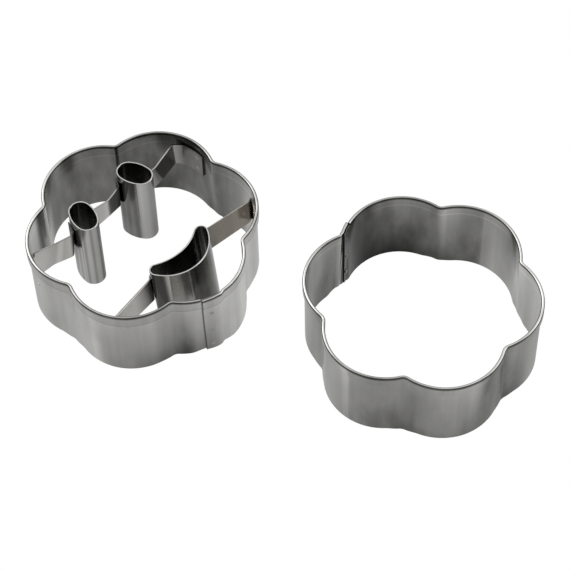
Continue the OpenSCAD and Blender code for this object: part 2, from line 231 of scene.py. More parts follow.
# The frames of both cutters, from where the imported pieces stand
left_eye, right_eye = middle("left_eye_tube"), middle("right_eye_tube")
across = (right_eye - left_eye).normalized()
face_mid = (left_eye + right_eye) / 2 - EYE_SHIFT * across - EYE_Y * Vector((-across.y, across.x))
FACE = turned(face_mid, across)
PLAIN = turned(middle("plain_band"), polar(1, PLAIN_TURN))
EYE_PITCH = (right_eye - left_eye).length
CUTTER_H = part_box("plain_band")[1].z / MM
TUBE_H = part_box("mouth_tube")[1].z / MM
BRIDGE_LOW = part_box("middle_eye_bridge")[0].z / MM
BRIDGE_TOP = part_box("middle_eye_bridge")[1].z / MM
BRIDGE_MID = (BRIDGE_LOW + BRIDGE_TOP) / 2
BRIDGE_H = BRIDGE_TOP - BRIDGE_LOW
WELD_HEIGHTS = [BRIDGE_LOW + share * BRIDGE_H for share in WELD_SHARES]


class Outline:
    """A closed outline of arcs, run anticlockwise. An arc is (centre, radius, start, turn) in
    degrees, and its turn is negative where the outline is hollow."""

    def __init__(self, arcs):
        self.arcs = arcs
        self.ends = [0.0]
        for _, radius, _, turn in arcs:
            self.ends.append(self.ends[-1] + radius * math.radians(abs(turn)))
        self.length = self.ends[-1]

    def arc_at(self, s):
        return min(bisect_right(self.ends, s % self.length) - 1, len(self.arcs) - 1)

    def at(self, s):
        """Point and outward direction at a distance along the outline."""
        i = self.arc_at(s)
        centre, radius, start, turn = self.arcs[i]
        side = math.copysign(1, turn)
        out = polar(1, start + side * math.degrees((s % self.length - self.ends[i]) / radius))
        return centre + radius * out, side * out

    def where(self, i, degrees):
        """Distance along the outline at which arc i is seen in that direction from its centre."""
        _, radius, start, turn = self.arcs[i]
        gone = (degrees - start) * math.copysign(1, turn) % 360
        return self.ends[i] + radius * math.radians(gone)

    def facing(self, direction):
        """Distance along the outline at which it looks most in that direction."""
        steps = 720
        return max((self.length * k / steps for k in range(steps)),
                   key=lambda s: self.at(s)[1].dot(direction))

    def marks(self, s0, s1, step=0.6, bend=6):
        """Distances from s0 to s1, closer together where the outline bends sharply."""
        found, least = [s0], 1e-6
        while found[-1] < s1 - least:
            radius = self.arcs[self.arc_at(found[-1])][1]
            found.append(min(found[-1] + min(step, radius * math.radians(bend)), s1))
        return found


def flower(turn):
    """The outside of a band, with one lobe in the direction turn."""
    crease_far = (LOBE_RING * math.cos(math.radians(LOBE_STEP / 2))
                  + math.sqrt((LOBE_R + CREASE_R) ** 2
                              - (LOBE_RING * math.sin(math.radians(LOBE_STEP / 2))) ** 2))
    to_crease = polar(crease_far, LOBE_STEP / 2) - Vector((LOBE_RING, 0))
    half = math.degrees(math.atan2(to_crease.y, to_crease.x))
    arcs = []
    for k in range(LOBES):
        a = turn + LOBE_STEP * k
        arcs.append((polar(LOBE_RING, a), LOBE_R, a - half, 2 * half))
        arcs.append((polar(crease_far, a + LOBE_STEP / 2), CREASE_R, a + half + 180,
                     LOBE_STEP - 2 * half))
    return Outline(arcs)


def seen_from_lobe(lobe_a, polar_a):
    """Direction from a lobe's centre of the point seen at polar_a from the flower's centre."""
    a = math.radians(polar_a - lobe_a)
    return polar_a + math.degrees(math.asin(LOBE_RING * math.sin(a) / LOBE_R))


def seam_start(outline, turn, lobe, seam):
    """Distance along a flower's outline at which the outer end of its band lies."""
    return outline.where(2 * lobe, seen_from_lobe(turn + LOBE_STEP * lobe, seam))


def crease_middle(outline, k):
    """Distance along a flower's outline of the middle of crease k."""
    return (outline.ends[2 * k + 1] + outline.ends[2 * k + 2]) / 2


def oval():
    """The outside of an eye tube, with its long axis on X."""
    arcs = []
    for a in (0, 180):
        arcs.append((polar(EYE_END_X, a), EYE_END_R, a - EYE_TURN, 2 * EYE_TURN))
        arcs.append((polar(EYE_SIDE_Y, a - 90), EYE_SIDE_R, a + EYE_TURN, 180 - 2 * EYE_TURN))
    return Outline(arcs)


def crescent():
    """The outside of the mouth tube, from the middle between its corners."""
    out_mid, in_mid = Vector((0, MOUTH_OUT_Y)), Vector((0, MOUTH_IN_Y))
    to_tip = Vector((MOUTH_TIP_X, 0)) - out_mid
    low = math.degrees(math.atan2(to_tip.y, to_tip.x))
    hollow = 180 - 2 * MOUTH_TURN
    tip = 180 - MOUTH_TURN - low
    return Outline([
        (Vector((MOUTH_TIP_X, 0)), MOUTH_TIP_R, low, tip),
        (in_mid, MOUTH_IN_R, -MOUTH_TURN, -hollow),
        (Vector((-MOUTH_TIP_X, 0)), MOUTH_TIP_R, MOUTH_TURN, tip),
        (out_mid, MOUTH_OUT_R, 180 - low, 180 + 2 * low)])


def add(tree, kind, inputs=None, **settings):
    """A new node, with its settings and with each input set or linked."""
    node = tree.nodes.new(kind)
    for key, value in settings.items():
        setattr(node, key, value)
    for key, value in (inputs or {}).items():
        if isinstance(value, bpy.types.NodeSocket):
            tree.links.new(value, node.inputs[key])
        else:
            node.inputs[key].default_value = value
    return node


def put(tree, kind, inputs=None, **settings):
    """As add, but returns the first output of the node."""
    return add(tree, kind, inputs, **settings).outputs[0]


def maths_in(tree):
    """A function that adds a math node to a tree and returns its value."""
    def maths(operation, a, b=0.0, c=0.0):
        return put(tree, "ShaderNodeMath", {0: a, 1: b, 2: c}, operation=operation)
    return maths


def ranged(tree, value, low, high, to_low=0.0, to_high=1.0, kind="LINEAR"):
    """Maps a value that goes from low to high onto another range."""
    return put(tree, "ShaderNodeMapRange", {0: value, 1: low, 2: high, 3: to_low, 4: to_high},
               interpolation_type=kind)


def new_tree(name, sockets):
    """A geometry tree with named inputs, and its input node."""
    tree = bpy.data.node_groups.new(name, "GeometryNodeTree")
    for label, kind in sockets.items():
        tree.interface.new_socket(name=label, in_out="INPUT", socket_type=kind)
    tree.interface.new_socket(name="Geometry", in_out="OUTPUT", socket_type="NodeSocketGeometry")
    return tree, tree.nodes.new("NodeGroupInput").outputs


def named(tree, label, kind="FLOAT_VECTOR"):
    return put(tree, "GeometryNodeInputNamedAttribute", {"Name": label}, data_type=kind)


def finish_tree(tree, geometry, steel):
    """Realizes what a tree made and gives it its steel."""
    real = put(tree, "GeometryNodeRealizeInstances", {0: geometry})
    painted = put(tree, "GeometryNodeSetMaterial", {"Geometry": real, "Material": steel})
    add(tree, "NodeGroupOutput", {0: painted})


def sheet_tree():
    """Bends a sheet: each station of a path carries a copy of one ring of section points.

    A station has its place, the vectors out and up that a section's x and z are measured along,
    and the number of its ring. The sections' object holds the rings one after the other.
    """
    tree, given = new_tree("bent_sheet", {
        "Stations": "NodeSocketGeometry", "Sections": "NodeSocketObject",
        "Ring points": "NodeSocketInt", "Waviness": "NodeSocketFloat",
        "Wave length": "NodeSocketFloat", "Steel": "NodeSocketMaterial"})
    stations = given["Stations"]
    count = put(tree, "GeometryNodeAttributeDomainSize", {0: stations})
    grid = put(tree, "GeometryNodeMeshGrid",
               {"Vertices X": count, "Vertices Y": given["Ring points"]})
    index = put(tree, "GeometryNodeInputIndex")
    maths = maths_in(tree)

    def vectors(operation, a, b):
        second = "Scale" if operation == "SCALE" else 1
        return put(tree, "ShaderNodeVectorMath", {0: a, second: b}, operation=operation)

    def sampled(geometry, value, at, kind="FLOAT_VECTOR"):
        return put(tree, "GeometryNodeSampleIndex",
                   {"Geometry": geometry, "Value": value, "Index": at}, data_type=kind)

    row = maths("FLOOR", maths("DIVIDE", index, given["Ring points"]))
    place = put(tree, "GeometryNodeInputPosition")
    ring = sampled(stations, named(tree, "ring", "INT"), row, "INT")
    first = maths("MULTIPLY", maths("SUBTRACT", ring, row), given["Ring points"])
    sections = add(tree, "GeometryNodeObjectInfo",
                   {"Object": given["Sections"]}).outputs["Geometry"]
    section = add(tree, "ShaderNodeSeparateXYZ",
                  {0: sampled(sections, place, maths("ADD", index, first))}).outputs
    out = sampled(stations, named(tree, "out"), row)
    up = sampled(stations, named(tree, "up"), row)
    middle_line = vectors("ADD", sampled(stations, place, row), vectors("SCALE", up, section["Z"]))
    waves = vectors("SCALE", middle_line, maths("DIVIDE", 1.0, given["Wave length"]))
    noise = put(tree, "ShaderNodeTexNoise", {"Vector": waves, "Scale": 1.0, "Detail": 1.0})
    bulge = maths("MULTIPLY", maths("MULTIPLY_ADD", noise, 2.0, -1.0), given["Waviness"])
    shift = maths("ADD", section["X"], bulge)
    bent = put(tree, "GeometryNodeSetPosition",
               {"Geometry": grid, "Position": vectors("ADD", middle_line,
                                                      vectors("SCALE", out, shift))})
    low_tone = sampled(stations, named(tree, "tone"), row)
    high_tone = sampled(stations, named(tree, "top_tone"), row)
    raised = vectors("SCALE", vectors("SUBTRACT", high_tone, low_tone),
                     maths("DIVIDE", section["Z"], CUTTER_H * MM))
    shares = sampled(sections, named(tree, "share"), maths("ADD", index, first))
    tone = add(tree, "ShaderNodeVectorMath", {0: vectors("ADD", low_tone, raised), 1: shares},
               operation="DOT_PRODUCT").outputs["Value"]
    toned = put(tree, "GeometryNodeStoreNamedAttribute",
                {"Geometry": bent, "Name": "tone", "Value": tone}, data_type="FLOAT")
    closed = put(tree, "GeometryNodeMergeByDistance", {"Geometry": toned, "Distance": CLOSE})
    shaded = put(tree, "GeometryNodeSetShadeSmooth", {0: closed})
    finish_tree(tree, shaded, given["Steel"])
    return tree


def weld_tree():
    """Sets a nugget on each point, along the vector out of that point."""
    tree, given = new_tree("spot_welds", {
        "Points": "NodeSocketGeometry", "Nugget": "NodeSocketObject",
        "Steel": "NodeSocketMaterial"})
    nugget = add(tree, "GeometryNodeObjectInfo", {"Object": given["Nugget"]}).outputs["Geometry"]
    turn = add(tree, "FunctionNodeAlignRotationToVector", {"Vector": named(tree, "out")}, axis="Z")
    copies = add(tree, "GeometryNodeInstanceOnPoints",
                 {"Points": given["Points"], "Instance": nugget, "Rotation": turn.outputs[0]})
    finish_tree(tree, copies.outputs[0], given["Steel"])
    return tree


def new_object(name, data):
    obj = bpy.data.objects.new(name, data)
    bpy.context.scene.collection.objects.link(obj)
    return obj


def made_by(name, tree, base, **inputs):
    """Runs a tree on a base mesh and returns the result as a plain mesh object."""
    obj = new_object(name, base)
    modifier = obj.modifiers.new("make", "NODES")
    modifier.node_group = tree
    for item in tree.interface.items_tree:
        key = item.name.lower().replace(" ", "_")
        if item.in_out == "INPUT" and key in inputs:
            modifier[item.identifier] = inputs[key]
    graph = bpy.context.evaluated_depsgraph_get()
    result = bpy.data.meshes.new_from_object(obj.evaluated_get(graph), depsgraph=graph)
    obj.modifiers.clear()
    obj.data = result
    bpy.data.meshes.remove(base)
    result.name = name
    faces = bmesh.new()
    faces.from_mesh(result)
    bmesh.ops.recalc_face_normals(faces, faces=faces.faces)
    faces.to_mesh(result)
    faces.free()
    result.set_sharp_from_angle(angle=math.radians(SHARP_A))
    return obj


def vector_mesh(name, rows, place):
    """A mesh of loose points from rows of (place, out, up, ring, tone, top tone), in millimetres,
    that a matrix puts where they belong. A tone has a value for the inner side, the outer side and
    the rim, and the second one holds at the top of a cutter."""
    mesh = bpy.data.meshes.new(name)
    mesh.from_pydata([(place @ row[0]) * MM for row in rows], [], [])
    turn, plain = place.to_3x3(), Matrix.Identity(3)
    for label, k, matrix in (("out", 1, turn), ("up", 2, turn), ("tone", 4, plain),
                             ("top_tone", 5, plain)):
        values = mesh.attributes.new(label, "FLOAT_VECTOR", "POINT").data
        values.foreach_set("vector", [x for row in rows for x in matrix @ row[k]])
    mesh.attributes.new("ring", "INT", "POINT").data.foreach_set("value", [row[3] for row in rows])
    return mesh


def section_of(line):
    """Two rings round a sheet whose middle follows a line of (out, z): its skin, with broken
    edges, and its middle, onto which a cut end closes."""
    line = [Vector(p) for p in line]
    skin = []
    for k, p in enumerate(line):
        along = (line[min(k + 1, len(line) - 1)] - line[max(k - 1, 0)]).normalized()
        half = SHEET / 2 - (BREAK if k in (0, len(line) - 1) else 0)
        skin.append(half * Vector((-along.y, along.x)))
    there = [p + s for p, s in zip(line, skin)] + [line[-1]]
    back = [p - s for p, s in zip(line[::-1], skin[::-1])] + [line[0]]
    flat = line + [line[-1]] + line[::-1] + [line[0]]
    return [there + back + there[:1], flat + flat[:1]]


def upright(z0, z1, out=-SHEET / 2, step=1.6):
    """The middle of an upright sheet from z0 to z1, with points at its broken edges."""
    count = max(1, round((z1 - z0) / step))
    inner = [z0 + BREAK + (z1 - z0 - 2 * BREAK) * k / count for k in range(count + 1)]
    return [(out, z) for z in [z0] + inner + [z1]]


def strip_shares(top, edge=1.0):
    """Shares that a point of a plain strip's section takes of the tones of the inner side, the
    outer side and the rim. The inner half of the rim is darker, painted shade."""
    inner_rim_shade = 0.6 * edge

    def shares(x, z):
        if z > top - BREAK / 2:
            return 0, 0, edge if x > INNER_X else inner_rim_shade
        return (1, 0, 0) if x < INNER_X else (0, 1, 0)
    return shares


def hemmed(hem):
    """The middle of a band's wall and of the rim that is folded outwards over it."""
    spine = FOLD_R - SHEET / 2
    bend_z = CUTTER_H - FOLD_R
    edge = CUTTER_H - hem
    arc = [Vector((GAP / 2, bend_z)) + polar(spine, 180 - 180 / FOLD_STEPS * k)
           for k in range(FOLD_STEPS + 1)]
    wall = [z for _, z in upright(0, bend_z)[:-2] if abs(z - edge) > HEM_CLEAR]
    wall += [edge - HEM_LINE, edge, edge + HEM_LINE, bend_z - HEM_LINE]
    flap = [z for _, z in upright(edge, bend_z)[:-2]] + [edge + HEM_LINE, bend_z - HEM_LINE]
    return ([(-SHEET / 2, z) for z in sorted(wall)] + [tuple(p) for p in arc]
            + [(LAYER - SHEET / 2, z) for z in sorted(flap, reverse=True)])


def hemmed_shares(hem, hem_shade):
    """As strip_shares, with a painted shade line along each side of the rim and at the raw edge of
    the hem, and a painted highlight line on the inner side at the height of that edge. The hem
    itself has painted shade."""
    bend_z = CUTTER_H - FOLD_R
    edge = CUTTER_H - hem
    rim_z, crown_z = bend_z + 0.15, bend_z + 0.36
    hem_x, near_edge = 0.2, 0.1
    shade_line, step_highlight, raw_edge_shade = 0.4, 1.3, 1 - 3 * hem_shade

    def shares(x, z):
        if z > rim_z:
            return 0, 0, 1 if z > crown_z else shade_line
        beside = shade_line if z > bend_z - HEM_LINE / 2 else 1
        at_edge = abs(z - edge) < near_edge
        if x < INNER_X:
            return beside * (step_highlight if at_edge else 1), 0, 0
        outer = raw_edge_shade if at_edge else 1 - hem_shade if x > hem_x else 1
        return 0, beside * outer, 0
    return shares


def bend_sheet(name, rows, line, shares, place, steel, wave=WAVE):
    """A sheet with the given section line, bent along rows of (place, out, up, tone, top tone)."""
    rings = section_of(line)
    points = [p for ring in rings for p in ring]
    mesh = bpy.data.meshes.new("sections")
    mesh.from_pydata([(p.x * MM, 0, p.y * MM) for p in points], [], [])
    mesh.attributes.new("share", "FLOAT_VECTOR", "POINT").data.foreach_set(
        "vector", [value for p in points for value in shares(p.x, p.y)])
    sections = new_object("sections", mesh)
    stations = [row[:3] + (ring,) + row[3:] for row, ring in
                [(rows[0], 1)] + [(row, 0) for row in rows] + [(rows[-1], 1)]]
    obj = made_by(name, SHEET_TREE, vector_mesh(name, stations, place), sections=sections,
                  ring_points=len(rings[0]), waviness=wave * MM, wave_length=WAVE_LENGTH * MM,
                  steel=steel)
    bpy.data.objects.remove(sections)
    return obj


def joined(name, parts):
    """One object of several, which keep their shells."""
    whole = bmesh.new()
    for part in parts:
        whole.from_mesh(part.data)
    whole.to_mesh(parts[0].data)
    whole.free()
    for part in parts[1:]:
        bpy.data.objects.remove(part)
    parts[0].name = name
    return parts[0]


def dress(obj, body, slot, *nodes):
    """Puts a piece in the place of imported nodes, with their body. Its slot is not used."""
    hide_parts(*nodes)
    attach(obj, body)


def stop_at(stops, where, period):
    """The low and the high tone at a place, between stops of (place, low, high), or of (place,
    tone) where both are the same. With a period the stops go round."""
    if period:
        where %= period
        first, last = stops[0], stops[-1]
        stops = [(last[0] - period, *last[1:]), *stops, (first[0] + period, *first[1:])]
    for before, after in zip(stops, stops[1:]):
        if before[0] <= where <= after[0]:
            t = smooth((where - before[0]) / (after[0] - before[0]))
            return [before[k] + (after[k] - before[k]) * t for k in (1, -1)]
    end = stops[0] if where < stops[0][0] else stops[-1]
    return end[1], end[-1]


def tones_at(tones, where, period=None, factor=1.0):
    """The tone and the top tone of a station, for the inner side, the outer side and the rim."""
    low, high = zip(*(stop_at(stops, where, period) for stops in tones))
    return Vector(low) * factor, Vector(high) * factor


def bearing(p, place):
    """Direction of a point of a frame's plan from its origin, in degrees from the part's +X."""
    v = place.to_3x3() @ p.to_3d()
    return math.degrees(math.atan2(v.y, v.x))


def eased(outline, s, eases):
    """How far a band's foot stands out at a distance along its outline."""
    half = outline.length / 2
    total = 0.0
    for k, ease, past in eases:
        away = abs((s - crease_middle(outline, k) - past + half) % outline.length - half)
        total += ease * (1 - smooth(away / EASE_REACH))
    return total


def band(name, outline, start, lap, hem, hem_shade, leans, eases, place, tones):
    """A flower band, from its outer end at start, past the lap and the jog, to its inner end."""

    def station(s, off, slide, factor):
        """A row that stands off the outline, with its foot slid along the band."""
        p, n = outline.at(s)
        shift = slide * Vector((-n.y, n.x)) + eased(outline, s, eases) * n
        return ((p + off * n + shift).to_3d(), n.to_3d(), at_height(-shift / CUTTER_H, 1),
                *tones_at(tones, bearing(p, place), 360, factor))

    rim_end, tongue_end = start + outline.length - NOTCH, start + outline.length + lap - GAP
    # The rows at both cut ends take a low factor, painted shade along the ends.
    rows = []
    for s in [start] + outline.marks(start + END_LINE, rim_end):
        gone = s - start
        rows.append(station(s, LAYER * (1 - smooth((gone - lap) / JOG)),
                            leans[0] * max(0.0, 1 - gone / lap), END_PAINTED_SHADE if gone == 0 else 1))
    wall = bend_sheet(name, rows, hemmed(hem), hemmed_shares(hem, hem_shade), place, BAND_STEEL)
    rows = []
    for s in outline.marks(rim_end, tongue_end - TONGUE_LINE) + [tongue_end]:
        rows.append(station(s, 0, leans[1] * smooth(1 - (tongue_end - s) / lap),
                            END_PAINTED_SHADE if s == tongue_end else 1))
    top = CUTTER_H - FOLD_R
    tongue = bend_sheet(name, rows, upright(0, top), strip_shares(top, TONGUE_EDGE_SHADE), place,
                        BAND_STEEL)
    return joined(name, [wall, tongue])


def tube(name, outline, seam, place, tones):
    """An upright tube, bent from strip, whose ends meet at the seam."""
    rows = []
    for s in outline.marks(seam + BUTT / 2, seam + outline.length - BUTT / 2, step=0.4, bend=5):
        p, n = outline.at(s)
        rows.append((p.to_3d(), n.to_3d(), UP, *tones_at(tones, bearing(n, place), 360)))
    return bend_sheet(name, rows, upright(0, TUBE_H), strip_shares(TUBE_H), place, TUBE_STEEL,
                      NARROW_WAVE)


def eye_mid(side):
    return Vector((EYE_SHIFT + side * EYE_PITCH / 2, EYE_Y))


def leaning(p, z):
    """Place in the face's plan of a point of the mouth's own frame, at the world's height z."""
    up = (z - BRIDGE_MID + p.y * math.sin(MOUTH_LEAN)) / math.cos(MOUTH_LEAN)
    return MOUTH_MID + Vector((p.x, p.y * math.cos(MOUTH_LEAN) + up * math.sin(MOUTH_LEAN)))


def mouth():
    """The mouth tube leans as a whole and is cut level at both ends."""
    outline = crescent()
    seam = outline.facing(Vector(MOUTH_SEAM))
    rows = []
    for s in outline.marks(seam + BUTT / 2, seam + outline.length - BUTT / 2, step=0.5, bend=5):
        p, n = outline.at(s)
        rows.append((leaning(p, 0).to_3d(), Vector((n.x, n.y / math.cos(MOUTH_LEAN), 0)),
                     Vector((0, math.tan(MOUTH_LEAN), 1)), *tones_at(MOUTH_PAINTED_LIGHT, p.x)))
    return bend_sheet("mouth_tube_steel", rows, upright(0, TUBE_H), strip_shares(TUBE_H), FACE,
                      TUBE_STEEL, NARROW_WAVE)


def chord(length):
    return math.degrees(2 * math.asin(length / 2 / TAB_R))


def lobe_mid(side, level):
    return flip(polar(LOBE_RING, LOBE_STEP / 2 * level), side)


def wall_tab(side, level, bend_a, length):
    """The middle of a tab that follows the band, from its end to its bend."""
    count = 8
    return [lobe_mid(side, level)
            + flip(polar(TAB_R, bend_a - chord(length) * (1 - k / count)), side)
            for k in range(count + 1)]


def by_eye(side, a, distance):
    """Point beside an eye tube, where the outline of the left one looks in direction a."""
    if abs(a) < EYE_TURN:
        p = Vector((EYE_END_X, 0)) + polar(EYE_END_R + distance, a)
    else:
        p = Vector((0, -math.copysign(EYE_SIDE_Y, a))) + polar(EYE_SIDE_R + distance, a)
    p.rotate(Matrix.Rotation(math.radians(90 - EYE_TILT), 2))
    return eye_mid(side) + flip(p, -side)


def eye_tab(side, bend_a, end_a, off, count):
    """The middle of a tab on an eye tube, from its bend, which stands off the tube, to its end. It
    lies on the tube from a third of the way on."""
    return [by_eye(side, bend_a + (end_a - bend_a) * k / count,
                   TUBE_TAB + off * max(0, 1 - 3 * k / count))
            for k in range(count + 1)]


def tip_at(a, distance):
    return Vector((-MOUTH_TIP_X, 0)) + polar(MOUTH_TIP_R + distance, a)


def hollow_at(a, distance):
    return Vector((0, MOUTH_IN_Y)) - polar(MOUTH_IN_R - distance, a)


def mouth_tab(side, tip_a, z):
    """The middle of a tab that goes round a corner of the mouth and along its hollow side."""
    tip_count, hollow_count = 10, 7
    tip_end, hollow_end = 60, 75
    own = [tip_at(tip_a + (tip_end - tip_a) * k / tip_count, TUBE_TAB)
           for k in range(tip_count + 1)]
    own += [hollow_at(tip_end + (hollow_end - tip_end) * k / hollow_count, TUBE_TAB)
            for k in range(1, hollow_count + 1)]
    return [leaning(flip(p, -side), z) for p in own]


def softened(pairs):
    """Rounds the bends of a bridge, given as pairs of an upper and a lower point, and fills its
    straight runs with points."""
    # Steps round a bend, distance of the points, how much of a run a bend takes, least bend
    rounds, fill, most, sharp = 5, 0.7, 0.45, math.radians(9)
    done = [pairs[0]]
    for before, here, after in zip(pairs, pairs[1:], pairs[2:]):
        bends = [abs((h - b).angle_signed(a - h)) for b, h, a in zip(before, here, after)]
        if max(bends) < sharp:
            done.append(here)
            continue
        reach_in = min(BEND_R, *[(h - b).length * most for b, h in zip(before, here)])
        reach_out = min(BEND_R, *[(a - h).length * most for a, h in zip(after, here)])
        for k in range(rounds + 1):
            t = k / rounds
            done.append(tuple(
                (1 - t) ** 2 * (h + (b - h).normalized() * reach_in) + 2 * t * (1 - t) * h
                + t * t * (h + (a - h).normalized() * reach_out)
                for b, h, a in zip(before, here, after)))
    done.append(pairs[-1])
    filled = [done[0]]
    for before, here in zip(done, done[1:]):
        count = max(1, math.ceil((here[0] - before[0]).length / fill))
        filled += [tuple(b.lerp(h, k / count) for b, h in zip(before, here))
                   for k in range(1, count + 1)]
    return filled


def bridge(name, top_line, low_line, tones, steel):
    """A strip on edge whose upper and lower edge each follow their own line. Its tones, painted
    reflections and shade, go by the distance across the face."""
    pairs = softened([(Vector(top), Vector(low)) for top, low in zip(top_line, low_line)])
    rows = []
    for k, (top, low) in enumerate(pairs):
        before, after = pairs[max(k - 1, 0)], pairs[min(k + 1, len(pairs) - 1)]
        along = (after[0] - before[0]).normalized() + (after[1] - before[1]).normalized()
        out = Vector((-along.y, along.x)).normalized()
        lean = (top - low) / BRIDGE_H
        rows.append(((low - BRIDGE_LOW * lean).to_3d(), out.to_3d(), at_height(lean, 1),
                     *tones_at(tones, ((top + low) / 2).x)))
    return bend_sheet(name, rows, upright(BRIDGE_LOW, BRIDGE_TOP, 0), strip_shares(BRIDGE_TOP),
                      FACE, steel, NARROW_WAVE)


def nugget():
    """A spot weld along Z: a pin through both sheets with a low ring and a dish at each end."""
    half = SHEET + GAP / 2
    # Shares of the radius, and of the height above the sheet
    end_shares = ((0, 0.9), (0.5, 0.9), (0.8, 1), (0.95, 0.85), (1, -1))
    profile = [(r * WELD_R, half + z * WELD_PROUD) for r, z in end_shares]
    profile += [(r, -z) for r, z in reversed(profile)]
    steps = 28
    mesh = bmesh.new()
    verts = [mesh.verts.new((r * MM, 0, z * MM)) for r, z in profile]
    edges = [mesh.edges.new(pair) for pair in zip(verts, verts[1:])]
    bmesh.ops.spin(mesh, geom=verts + edges, axis=(0, 0, 1), cent=(0, 0, 0),
                   angle=math.tau, steps=steps, use_merge=True)
    bmesh.ops.remove_doubles(mesh, verts=mesh.verts, dist=CLOSE / 10)
    bmesh.ops.recalc_face_normals(mesh, faces=mesh.faces)
    for face in mesh.faces:
        face.smooth = True
    data = bpy.data.meshes.new("nugget")
    mesh.to_mesh(data)
    mesh.free()
    return new_object("nugget", data)


def welds(name, spots, place):
    """Spot welds at spots of (place of the pin's middle, direction, tone)."""
    shape = nugget()
    rows = [(p, n, UP, 0, Vector((tone,) * 3), Vector((tone,) * 3)) for p, n, tone in spots]
    base = vector_mesh(name, rows, place)
    obj = made_by(name, WELD_TREE, base, nugget=shape, steel=WELD_STEEL)
    bpy.data.objects.remove(shape)
    return obj


def lap_spots(outline, start, lap, shares, eases, tone):
    p, n = outline.at(start + lap / 2)
    foot = eased(outline, start + lap / 2, eases)
    return [(at_height(p + n * (GAP / 2 + foot * (1 - share)), share * CUTTER_H), n.to_3d(), tone)
            for share in shares]


def wall_spots(side, level, bend_a, length, tone):
    n = flip(polar(1, bend_a - WELD_SHARE * chord(length)), side)
    p = lobe_mid(side, level) + n * (LOBE_R - SHEET - GAP / 2)
    return [(at_height(p, z), n.to_3d(), tone) for z in WELD_HEIGHTS]


def eye_spots(side, a):
    p, q = by_eye(side, a, GAP / 2), by_eye(side, a, GAP / 2 + 1)
    return [(at_height(p, z), (q - p).to_3d(), EYE_TUBE_TONE) for z in WELD_HEIGHTS]


def mouth_spots(side):
    spots = []
    for z in WELD_HEIGHTS:
        p = leaning(flip(hollow_at(MOUTH_TUBE_WELD_A, GAP / 2), -side), z)
        q = leaning(flip(hollow_at(MOUTH_TUBE_WELD_A, GAP / 2 + 1), -side), z)
        spots.append((at_height(p, z), (q - p).to_3d(), MOUTH_TUBE_TONE))
    return spots


def make_steel(name, light, dark, rough, streak, shift):
    """Rolled steel with upright streaks of two widths and faint blotches from handling.
    The streaks are in object space, so they stay on the metal in every view, and a shift tells the
    noise of one steel from another's."""
    material = bpy.data.materials.new(name)
    material.use_nodes = True
    tree = material.node_tree
    tree.nodes.clear()
    place = add(tree, "ShaderNodeTexCoord").outputs["Object"]
    maths = maths_in(tree)

    def noise(size, flatten, detail, offset):
        """Noise of a size in millimetres, drawn out upright where flatten is small."""
        scale = 1 / (size * MM)
        at = put(tree, "ShaderNodeMapping", {
            "Vector": place, "Location": (offset, shift, 0.0),
            "Scale": (scale, scale, scale * flatten)})
        return put(tree, "ShaderNodeTexNoise", {"Vector": at, "Scale": 1.0, "Detail": detail})

    wide = noise(size=streak * 2.2, flatten=0.05, detail=2.0, offset=3.1)
    fine = noise(size=streak * 0.16, flatten=0.012, detail=3.0, offset=7.7)
    blotch = noise(size=9.0, flatten=0.6, detail=2.0, offset=12.3)
    smudge = noise(size=4.0, flatten=0.4, detail=3.0, offset=21.7)

    # Parts of the range of the noise within which it counts
    narrow, middling, most = (0.36, 0.64), (0.35, 0.65), (0.3, 0.7)

    # The rolled colour lies between dark and light, by shares of three patterns. Inputs 6 and 7 and
    # output 2 of the mixing node are its colours.
    wide_share, blotch_share, fine_share = 0.55, 0.3, 0.15
    cloudy = maths("ADD", ranged(tree, wide, *narrow, 0.0, wide_share),
                   ranged(tree, blotch, *narrow, 0.0, blotch_share))
    streaks = maths("ADD", cloudy, ranged(tree, fine, *most, 0.0, fine_share))
    rolled = add(tree, "ShaderNodeMix", {"Factor": streaks, 6: (*dark, 1), 7: (*light, 1)},
                 data_type="RGBA").outputs[2]

    # The tone, painted reflections and shade, darkens or brightens it, with smudges that show more
    # where it is darker
    shaded_tone, bright, shaded_smudge, bright_smudge = 0.3, 0.8, 0.25, 0.03
    tone = add(tree, "ShaderNodeAttribute", attribute_name="tone").outputs["Fac"]
    amount = ranged(tree, tone, shaded_tone, bright, shaded_smudge, bright_smudge)
    clouded = maths("MULTIPLY_ADD", ranged(tree, smudge, *middling, -1.0, 1.0), amount, 1.0)
    toned = put(tree, "ShaderNodeVectorMath",
                {0: rolled, "Scale": maths("MULTIPLY", tone, clouded)}, operation="SCALE")

    rub, spread, bump, bump_height = 0.05, 0.04, 0.04, 0.05
    rubbed = maths("ADD", ranged(tree, blotch, *most, -rub, rub),
                   ranged(tree, wide, *most, rough - spread, rough + spread))
    raised = put(tree, "ShaderNodeBump",
                 {"Strength": bump, "Distance": bump_height * MM, "Height": fine})
    shader = add(tree, "ShaderNodeBsdfPrincipled",
                 {"Base Color": toned, "Metallic": 1.0, "Roughness": rubbed, "Normal": raised})
    add(tree, "ShaderNodeOutputMaterial", {"Surface": shader.outputs[0]})
    return material


SHEET_TREE = sheet_tree()
WELD_TREE = weld_tree()

BAND_STEEL = make_steel("satin_band_steel", light=(0.65, 0.645, 0.625),
                        dark=(0.45, 0.445, 0.427), rough=0.17, streak=2.6, shift=0.0)
TUBE_STEEL = make_steel("satin_tube_steel", light=(0.60, 0.595, 0.58),
                        dark=(0.50, 0.495, 0.48), rough=0.17, streak=1.6, shift=4.0)
BRIDGE_STEEL = make_steel("satin_bridge_steel", light=(0.60, 0.585, 0.56),
                          dark=(0.52, 0.51, 0.49), rough=0.18, streak=1.8, shift=8.0)
TINTED_STEEL = make_steel("heat_tinted_steel", light=(0.60, 0.555, 0.50),
                          dark=(0.51, 0.47, 0.425), rough=0.18, streak=1.8, shift=8.0)
WELD_STEEL = make_steel("heated_weld_steel", light=(0.56, 0.545, 0.525),
                        dark=(0.50, 0.49, 0.47), rough=0.22, streak=0.8, shift=2.0)
